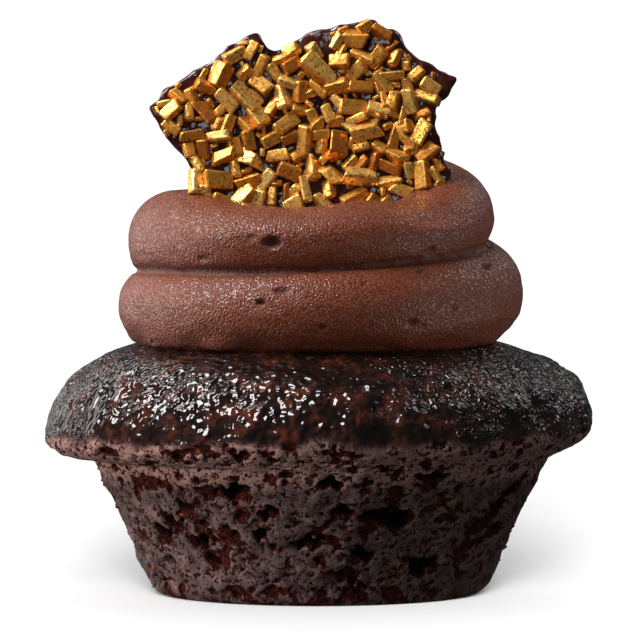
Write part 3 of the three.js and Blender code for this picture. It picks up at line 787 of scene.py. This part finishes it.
def shardRing(steps):  # the torn outline as a smooth ring, with so many steps between its corners
    outline = shard["outline"]
    ring = [alongCurve(outline, k / steps) for k in range((len(outline) - 1) * steps)]
    left, right, depth = shard["footLeft"], shard["footRight"], shard["footDepth"]
    return np.array([*ring, outline[-1], (left, 0), (left, -depth), (right, -depth), (right, 0)])


def makeSlab():
    s = shard
    ring = shardRing(4)
    count = len(ring)
    front = pointsFrom(ring[:, 0], -s["thickness"] / 2, ring[:, 1])
    back = front * (1, -1, 1)
    sides = [(k, k + count, (k + 1) % count + count, (k + 1) % count) for k in range(count)]
    faces = [tuple(range(count)), tuple(range(2 * count - 1, count - 1, -1)), *sides]
    piece = makeMesh("slab", np.concatenate([front, back]), faces)
    remesh(piece, s["voxel"])
    writePoints(piece, relaxed(piece, s["smoothRounds"]))
    points = readPoints(piece)
    drips = smoothNoise(points, *s["drips"]) + smoothNoise(points, *s["fineDrips"])
    points += readNormals(piece) * drips[:, None]
    writePoints(piece, standUp(points))
    piece.data.materials.append(chocolateFinish())
    return piece


def chocolateFinish():
    finish = Finish("dark chocolate")
    colour = finish.ramp(finish.noise(shard["mottleSize"], 4), shard["colours"])
    rough = shard["roughness"] + shard["roughSpread"] * finish.noise(1.2, 2)
    raised = finish.bump(finish.noise(shard["rippleSize"], 1), shard["rippleBump"])
    return finish.show(finish.shader({"Base Color": colour, "Roughness": rough, "Normal": raised}))


crystals = {
    "sizes": [(60, 4.2, 3.1), (420, 3.5, 2.35), (900, 2.7, 1.8)],  # tries, length, spacing
    "fill": [(1600, 3.1), (1600, 2.4), (1400, 1.7), (700, 1.1)],  # tries and length, for the gaps
    "across": (-25.0, 20.0), "up": (-3.0, 30.0), "frontSeed": 5, "backSeed": 23, "shapeSeed": 77,
    "lengthSpread": (0.85, 1.15), "widthSpread": (0.75, 1.25), "heightSpread": (0.85, 1.15),
    "widthShare": 0.56, "heightShare": 0.52, "tilt": 0.35, "spin": 0.75,
    "endShare": 0.45, "fillEndShare": 0.62, "sideShare": 0.4, "overlap": 0.38,
    "bareSpots": [  # right of the axis, above the pivot and radius: chocolate with nothing on it
        (0.3, 26.6, 1.5), (-2.2, 26.0, 0.9), (9.0, 25.6, 0.9), (11.6, 22.4, 0.7), (16.6, 16.1, 1.0),
        (-18.5, 13.9, 1.1), (0.2, 17.1, 1.4), (-6.1, 25.0, 1.1), (-8.6, 7.2, 1.0), (0.4, 5.3, 0.9),
        (18.4, 20.2, 0.8), (-12.4, 19.6, 0.8),
    ],
    "edge": 0.34, "jitter": 0.07, "broken": 4.0, "brokenRarity": 3, "proud": 0.25, "proudSpread": 0.2,

    "dustSize": 0.34, "dustEdge": (0.42, 0.46), "dustBump": 0.03, "rippleSize": 1.5, "rippleBump": 0.25,
    "roughness": 0.26, "bareRoughness": 0.25, "metal": 0.62, "bareMetal": 0.4,
    "colours": [
        (0.0, (0.52, 0.15, 0.012)), (0.25, (0.80, 0.31, 0.035)), (0.75, (0.96, 0.47, 0.080)),
        (1.0, (1.0, 0.62, 0.17))],
    "bareColour": (0.11, 0.030, 0.004),
}


def insideRing(ring, x, z):
    inside = False
    for (ax, az), (bx, bz) in zip(ring, np.roll(ring, 1, axis=0)):
        if (az > z) != (bz > z) and x < (bx - ax) * (z - az) / (bz - az) + ax:
            inside = not inside
    return inside


def crystalPlaces(ring, seed):  # largest first, each clear of those before it, both ends over the slab
    c = crystals
    draws = Draws(seed)
    places = []

    def tryOne(length, endShare, isClear):  # says whether it found room
        x = draws.next(*c["across"])
        z = draws.next(*c["up"])
        size = [length * draws.next(*c["lengthSpread"]),
                length * c["widthShare"] * draws.next(*c["widthSpread"]),
                length * c["heightShare"] * draws.next(*c["heightSpread"])]
        turn = draws.next(0, math.pi)
        pitch = draws.next(-c["tilt"], c["tilt"])
        roll = draws.next(-c["tilt"], c["tilt"])
        spin = draws.next(-c["spin"], c["spin"])
        along = endShare * size[0] * np.array([math.cos(turn), math.sin(turn)])
        across = c["sideShare"] * size[1] * np.array([-math.sin(turn), math.cos(turn)])
        corners = [(x, z) + i * along + j * across for i, j in itertools.product((-1, 1), repeat=2)]
        isBare = any(math.hypot(x - spotX, z - spotZ) < reach + size[1] / 3
                     for spotX, spotZ, reach in c["bareSpots"])
        fits = not isBare and all(isClear(place, x, z, size) for place in places) and all(
            insideRing(ring, *corner) for corner in corners)
        if fits:
            places.append({"x": x, "z": z, "size": size, "turn": turn, "pitch": pitch, "roll": roll,
                           "spin": spin})
        return fits

    for tries, length, spacing in c["sizes"]:
        def apart(place, x, z, size):  # middles at least the two spacings' mean from each other
            return math.hypot(place["x"] - x, place["z"] - z) > (place.get("spacing", spacing) + spacing) / 2

        for _ in range(tries):
            if tryOne(length, c["endShare"], apart):
                places[-1]["spacing"] = spacing

    def besideIt(place, x, z, size):  # outside the other's own rectangle, with a little to spare
        cosine, sine = math.cos(place["turn"]), math.sin(place["turn"])
        along = abs((x - place["x"]) * cosine + (z - place["z"]) * sine) - place["size"][0] / 2
        across = abs((z - place["z"]) * cosine - (x - place["x"]) * sine) - place["size"][1] / 2
        return max(along, across) > size[1] * c["overlap"]

    for tries, length in c["fill"]:
        for _ in range(tries):
            tryOne(length, c["fillEndShare"], besideIt)
    return places


def roundedBox():  # a box from -1 to 1: its grid points, and the quads between them
    steps = (-1.0, -0.5, 0.5, 1.0)
    last = len(steps) - 1
    index = {}
    points = []
    for cell in itertools.product(range(len(steps)), repeat=3):
        if 0 in cell or last in cell:
            index[cell] = len(points)
            points.append([steps[k] for k in cell])
    faces = []
    for axis, side in itertools.product(range(3), (0, last)):
        for i, j in itertools.product(range(last), repeat=2):
            corners = [(i, j), (i + 1, j), (i + 1, j + 1), (i, j + 1)]
            cells = [tuple(np.insert(pair, axis, side)) for pair in corners]
            turnedOver = (side == 0) == (axis != 1)
            faces.append([index[cell] for cell in (cells[::-1] if turnedOver else cells)])
    return np.array(points), np.array(faces)


def makeCrystals():
    c = crystals
    unit, unitFaces = roundedBox()
    cube = np.array(list(itertools.product((-1, 1), repeat=3)))
    ring = shardRing(2)
    draws = Draws(c["shapeSeed"])
    points = []
    faces = []
    tones = []
    for side, seed in ((-1, c["frontSeed"]), (1, c["backSeed"])):
        for place in crystalPlaces(ring, seed):
            half = np.array(place["size"]) / 2
            edge = min(c["edge"], half.min() / 2)
            inner = np.sign(unit) * (half - edge)
            outer = np.where(np.abs(unit) == 1, np.sign(unit), 0)
            body = inner + outer / np.linalg.norm(outer, axis=1)[:, None] * edge
            # each corner of the crystal is pulled its own way
            broken = c["jitter"] * (1 + c["broken"] * draws.next() ** c["brokenRarity"])
            pulls = np.array([[draws.next(-1, 1) for _ in range(3)] for _ in cube]) * half * broken * 2
            weight = np.prod(1 + body[:, None, :] / half * cube, axis=2) / len(cube)
            body = body + weight @ pulls
            matrix = (Matrix.Rotation(math.pi / 2, 3, "X") @ Matrix.Rotation(place["pitch"], 3, "X")
                      @ Matrix.Rotation(place["roll"], 3, "Y") @ Matrix.Rotation(place["turn"], 3, "Z")
                      @ Matrix.Rotation(place["spin"], 3, "X"))
            body = body @ np.array(matrix).T
            proud = shard["thickness"] / 2 + c["proud"] + draws.next(-c["proudSpread"], c["proudSpread"])
            body += (place["x"], side * proud, place["z"])
            faces.append(unitFaces + sum(len(p) for p in points))
            points.append(body)
            tones.append(np.full(len(body), draws.next()))
    placed = standUp(np.concatenate(points))
    piece = makeMesh("sugar", placed, np.concatenate(faces), {"tone": np.concatenate(tones)})
    piece.modifiers.new("facets", "WEIGHTED_NORMAL")
    piece.data.materials.append(goldFinish())
    return piece


def goldFinish():
    c = crystals
    finish = Finish("gold sugar")
    dust = finish.noise(c["dustSize"], 2, 0.65)
    gold = finish.ramp(finish.mark("tone"), c["colours"])
    bare = dust.between(*c["dustEdge"], 1.0, 0.0)
    colour = finish.mix(bare * 0.9, gold, c["bareColour"])
    rough = c["roughness"] + c["bareRoughness"] * bare + 0.12 * (finish.noise(0.9, 2) - 0.5)
    raised = finish.bump(dust, c["dustBump"], 0.6)
    raised = finish.bump(finish.noise(c["rippleSize"], 1), c["rippleBump"], 0.7, raised)
    return finish.show(finish.shader({
        "Base Color": colour, "Roughness": rough, "Normal": raised,
        "Metallic": c["metal"] - c["bareMetal"] * bare}))


# Floor, light and camera

studio = {
    "cameraDistance": 1.1, "cameraRise": 3.1, "frameWidth": 0.0938, "sensorWidth": 36, "farthest": 200,
    "lookAt": (0.00015, 0, 0.0400), "lampTarget": (0, 0, 0.045),
    "floorColour": (0.93, 0.93, 0.93), "floorSize": 40.0, "skyStrength": 0.06,
}
suns = [  # name, strength, angle, from, and what it lights: fill, with no glare of its own
    ("topLight", 0.56, 70.0, (-0.10, -0.36, 1.0), "food"),
    ("frontLight", 0.35, 90.0, (-0.35, -0.90, 0.30), "food"),
    ("bounce", 0.15, 120.0, (-0.25, -0.65, -0.70), "food"),
    ("floorLow", 6.4, 18.0, (-0.035, -1.0, 0.176), "floor"),
    ("floorMiddle", 2.3, 20.0, (-0.035, -1.0, 0.404), "floor"),
    ("floorHigh", 0.8, 24.0, (-0.035, -1.0, 0.70), "floor"),
    ("floorBack", 1.0, 60.0, (0.0, 1.0, 0.466), "floor"),
    ("floorSky", 1.07, 170.0, (0.0, 0.0, 1.0), "floor"),
]
softboxes = [  # name, place, size, power, in metres and watts, and what it lights
    ("leftBox", (-0.58, 0.80, 0.22), 0.6, 1.5, "food"),
    ("keyBox", (-0.60, -0.20, 0.77), 0.50, 15.0, "food"),
    ("backBox", (-0.22, 0.52, 0.82), 0.35, 2.0, "food"),
    ("rightBox", (0.58, 0.62, 0.56), 0.5, 1.7, "food"),
    ("wallLeft", (-0.93, -0.30, 0.06), 0.5, 15.0, "sponge"),
    ("wallRight", (0.80, -0.60, 0.06), 0.5, 1.2, "sponge"),
    ("creamLeft", (-0.90, 0.15, 0.12), 0.9, 9.0, "frosting"),
    ("creamRight", (0.88, -0.20, -0.05), 0.9, 4.2, "frosting"),
    ("goldLeft", (-0.86, 0.02, 0.50), 0.4, 11.5, "shard"),
    ("goldFront", (-0.35, -0.95, 0.50), 0.4, 2.0, "shard"),
]


def aim(item, target):
    direction = Vector(target) - item.location
    item.rotation_euler = direction.to_track_quat("-Z", "Y").to_euler()


def makeFloor():
    size = studio["floorSize"]
    mesh = bpy.data.meshes.new("floor")
    corners = [(-size, -size, 0), (size, -size, 0), (size, size, 0), (-size, size, 0)]
    mesh.from_pydata(corners, [], [(0, 1, 2, 3)])
    floor = bpy.data.objects.new("floor", mesh)
    bpy.context.scene.collection.objects.link(floor)
    floor.visible_diffuse = False  # the bounce light takes the place of what it throws up
    floor.visible_glossy = False
    floor.visible_shadow = False
    finish = Finish("white card")
    fibres = finish.noise(0.5, 2)
    mesh.materials.append(finish.show(finish.shader({
        "Base Color": studio["floorColour"], "Roughness": 0.7 + 0.1 * fibres, "Specular IOR Level": 0.1})))
    return floor


def addLamp(name, kind, place, target, pieces):  # a lamp that lights these pieces alone
    lamp = bpy.data.objects.new(name, bpy.data.lights.new(name, kind))
    lamp.location = place
    aim(lamp, target)
    bpy.context.scene.collection.objects.link(lamp)
    group = bpy.data.collections.new(name + "Receivers")
    for piece in pieces:
        group.objects.link(piece)
    for item in group.collection_objects:
        item.light_linking.link_state = "INCLUDE"
    lamp.light_linking.receiver_collection = group
    return lamp


def makeLight(lit):
    world = bpy.data.worlds.new("studio")
    bpy.context.scene.world = world
    world.use_nodes = True
    background = world.node_tree.nodes["Background"]
    background.inputs["Color"].default_value = (1, 1, 1, 1)
    background.inputs["Strength"].default_value = studio["skyStrength"]
    for name, strength, angle, place, what in suns:
        sun = addLamp(name, "SUN", place, (0, 0, 0), lit[what])
        sun.data.energy = strength
        sun.data.angle = math.radians(angle)
        sun.visible_glossy = False
    for name, place, size, power, what in softboxes:
        lamp = addLamp(name, "AREA", place, studio["lampTarget"], lit[what])
        lamp.data.energy = power
        lamp.data.size = size
        lamp.visible_glossy = what != "sponge"


def makeCamera():
    s = studio
    camera = bpy.data.objects.new("camera", bpy.data.cameras.new("camera"))
    rise = math.radians(s["cameraRise"])
    target = Vector(s["lookAt"])
    camera.location = target + s["cameraDistance"] * Vector((0, -math.cos(rise), math.sin(rise)))
    camera.data.sensor_width = s["sensorWidth"]
    camera.data.lens = s["sensorWidth"] * s["cameraDistance"] / s["frameWidth"]
    camera.data.clip_end = s["farthest"]
    aim(camera, target)
    bpy.context.scene.collection.objects.link(camera)
    bpy.context.scene.camera = camera


# Putting it together

makeCamera()
bpy.context.scene.view_settings.view_transform = "Standard"
floor = makeFloor()
crumb = makeSponge()
pieces = [
    (crumb, "sponge", "sponge"), (makeCrumbs(crumb), "sponge", "sponge"),
    (makeFrosting(), "frosting", "frosting"), (makeSlab(), "shard", "dark_chocolate"),
    (makeCrystals(), "shard", "gold_sugar"),
]
for piece, node, slot in pieces:
    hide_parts(node)
    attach(piece, "root")
    print(piece.name, "has", len(piece.data.polygons), "faces")

lit = {"food": [piece for piece, node, slot in pieces], "floor": [floor]}
for piece, node, slot in pieces:
    lit.setdefault(node, []).append(piece)
makeLight(lit)
print("camera, floor and lights are set")
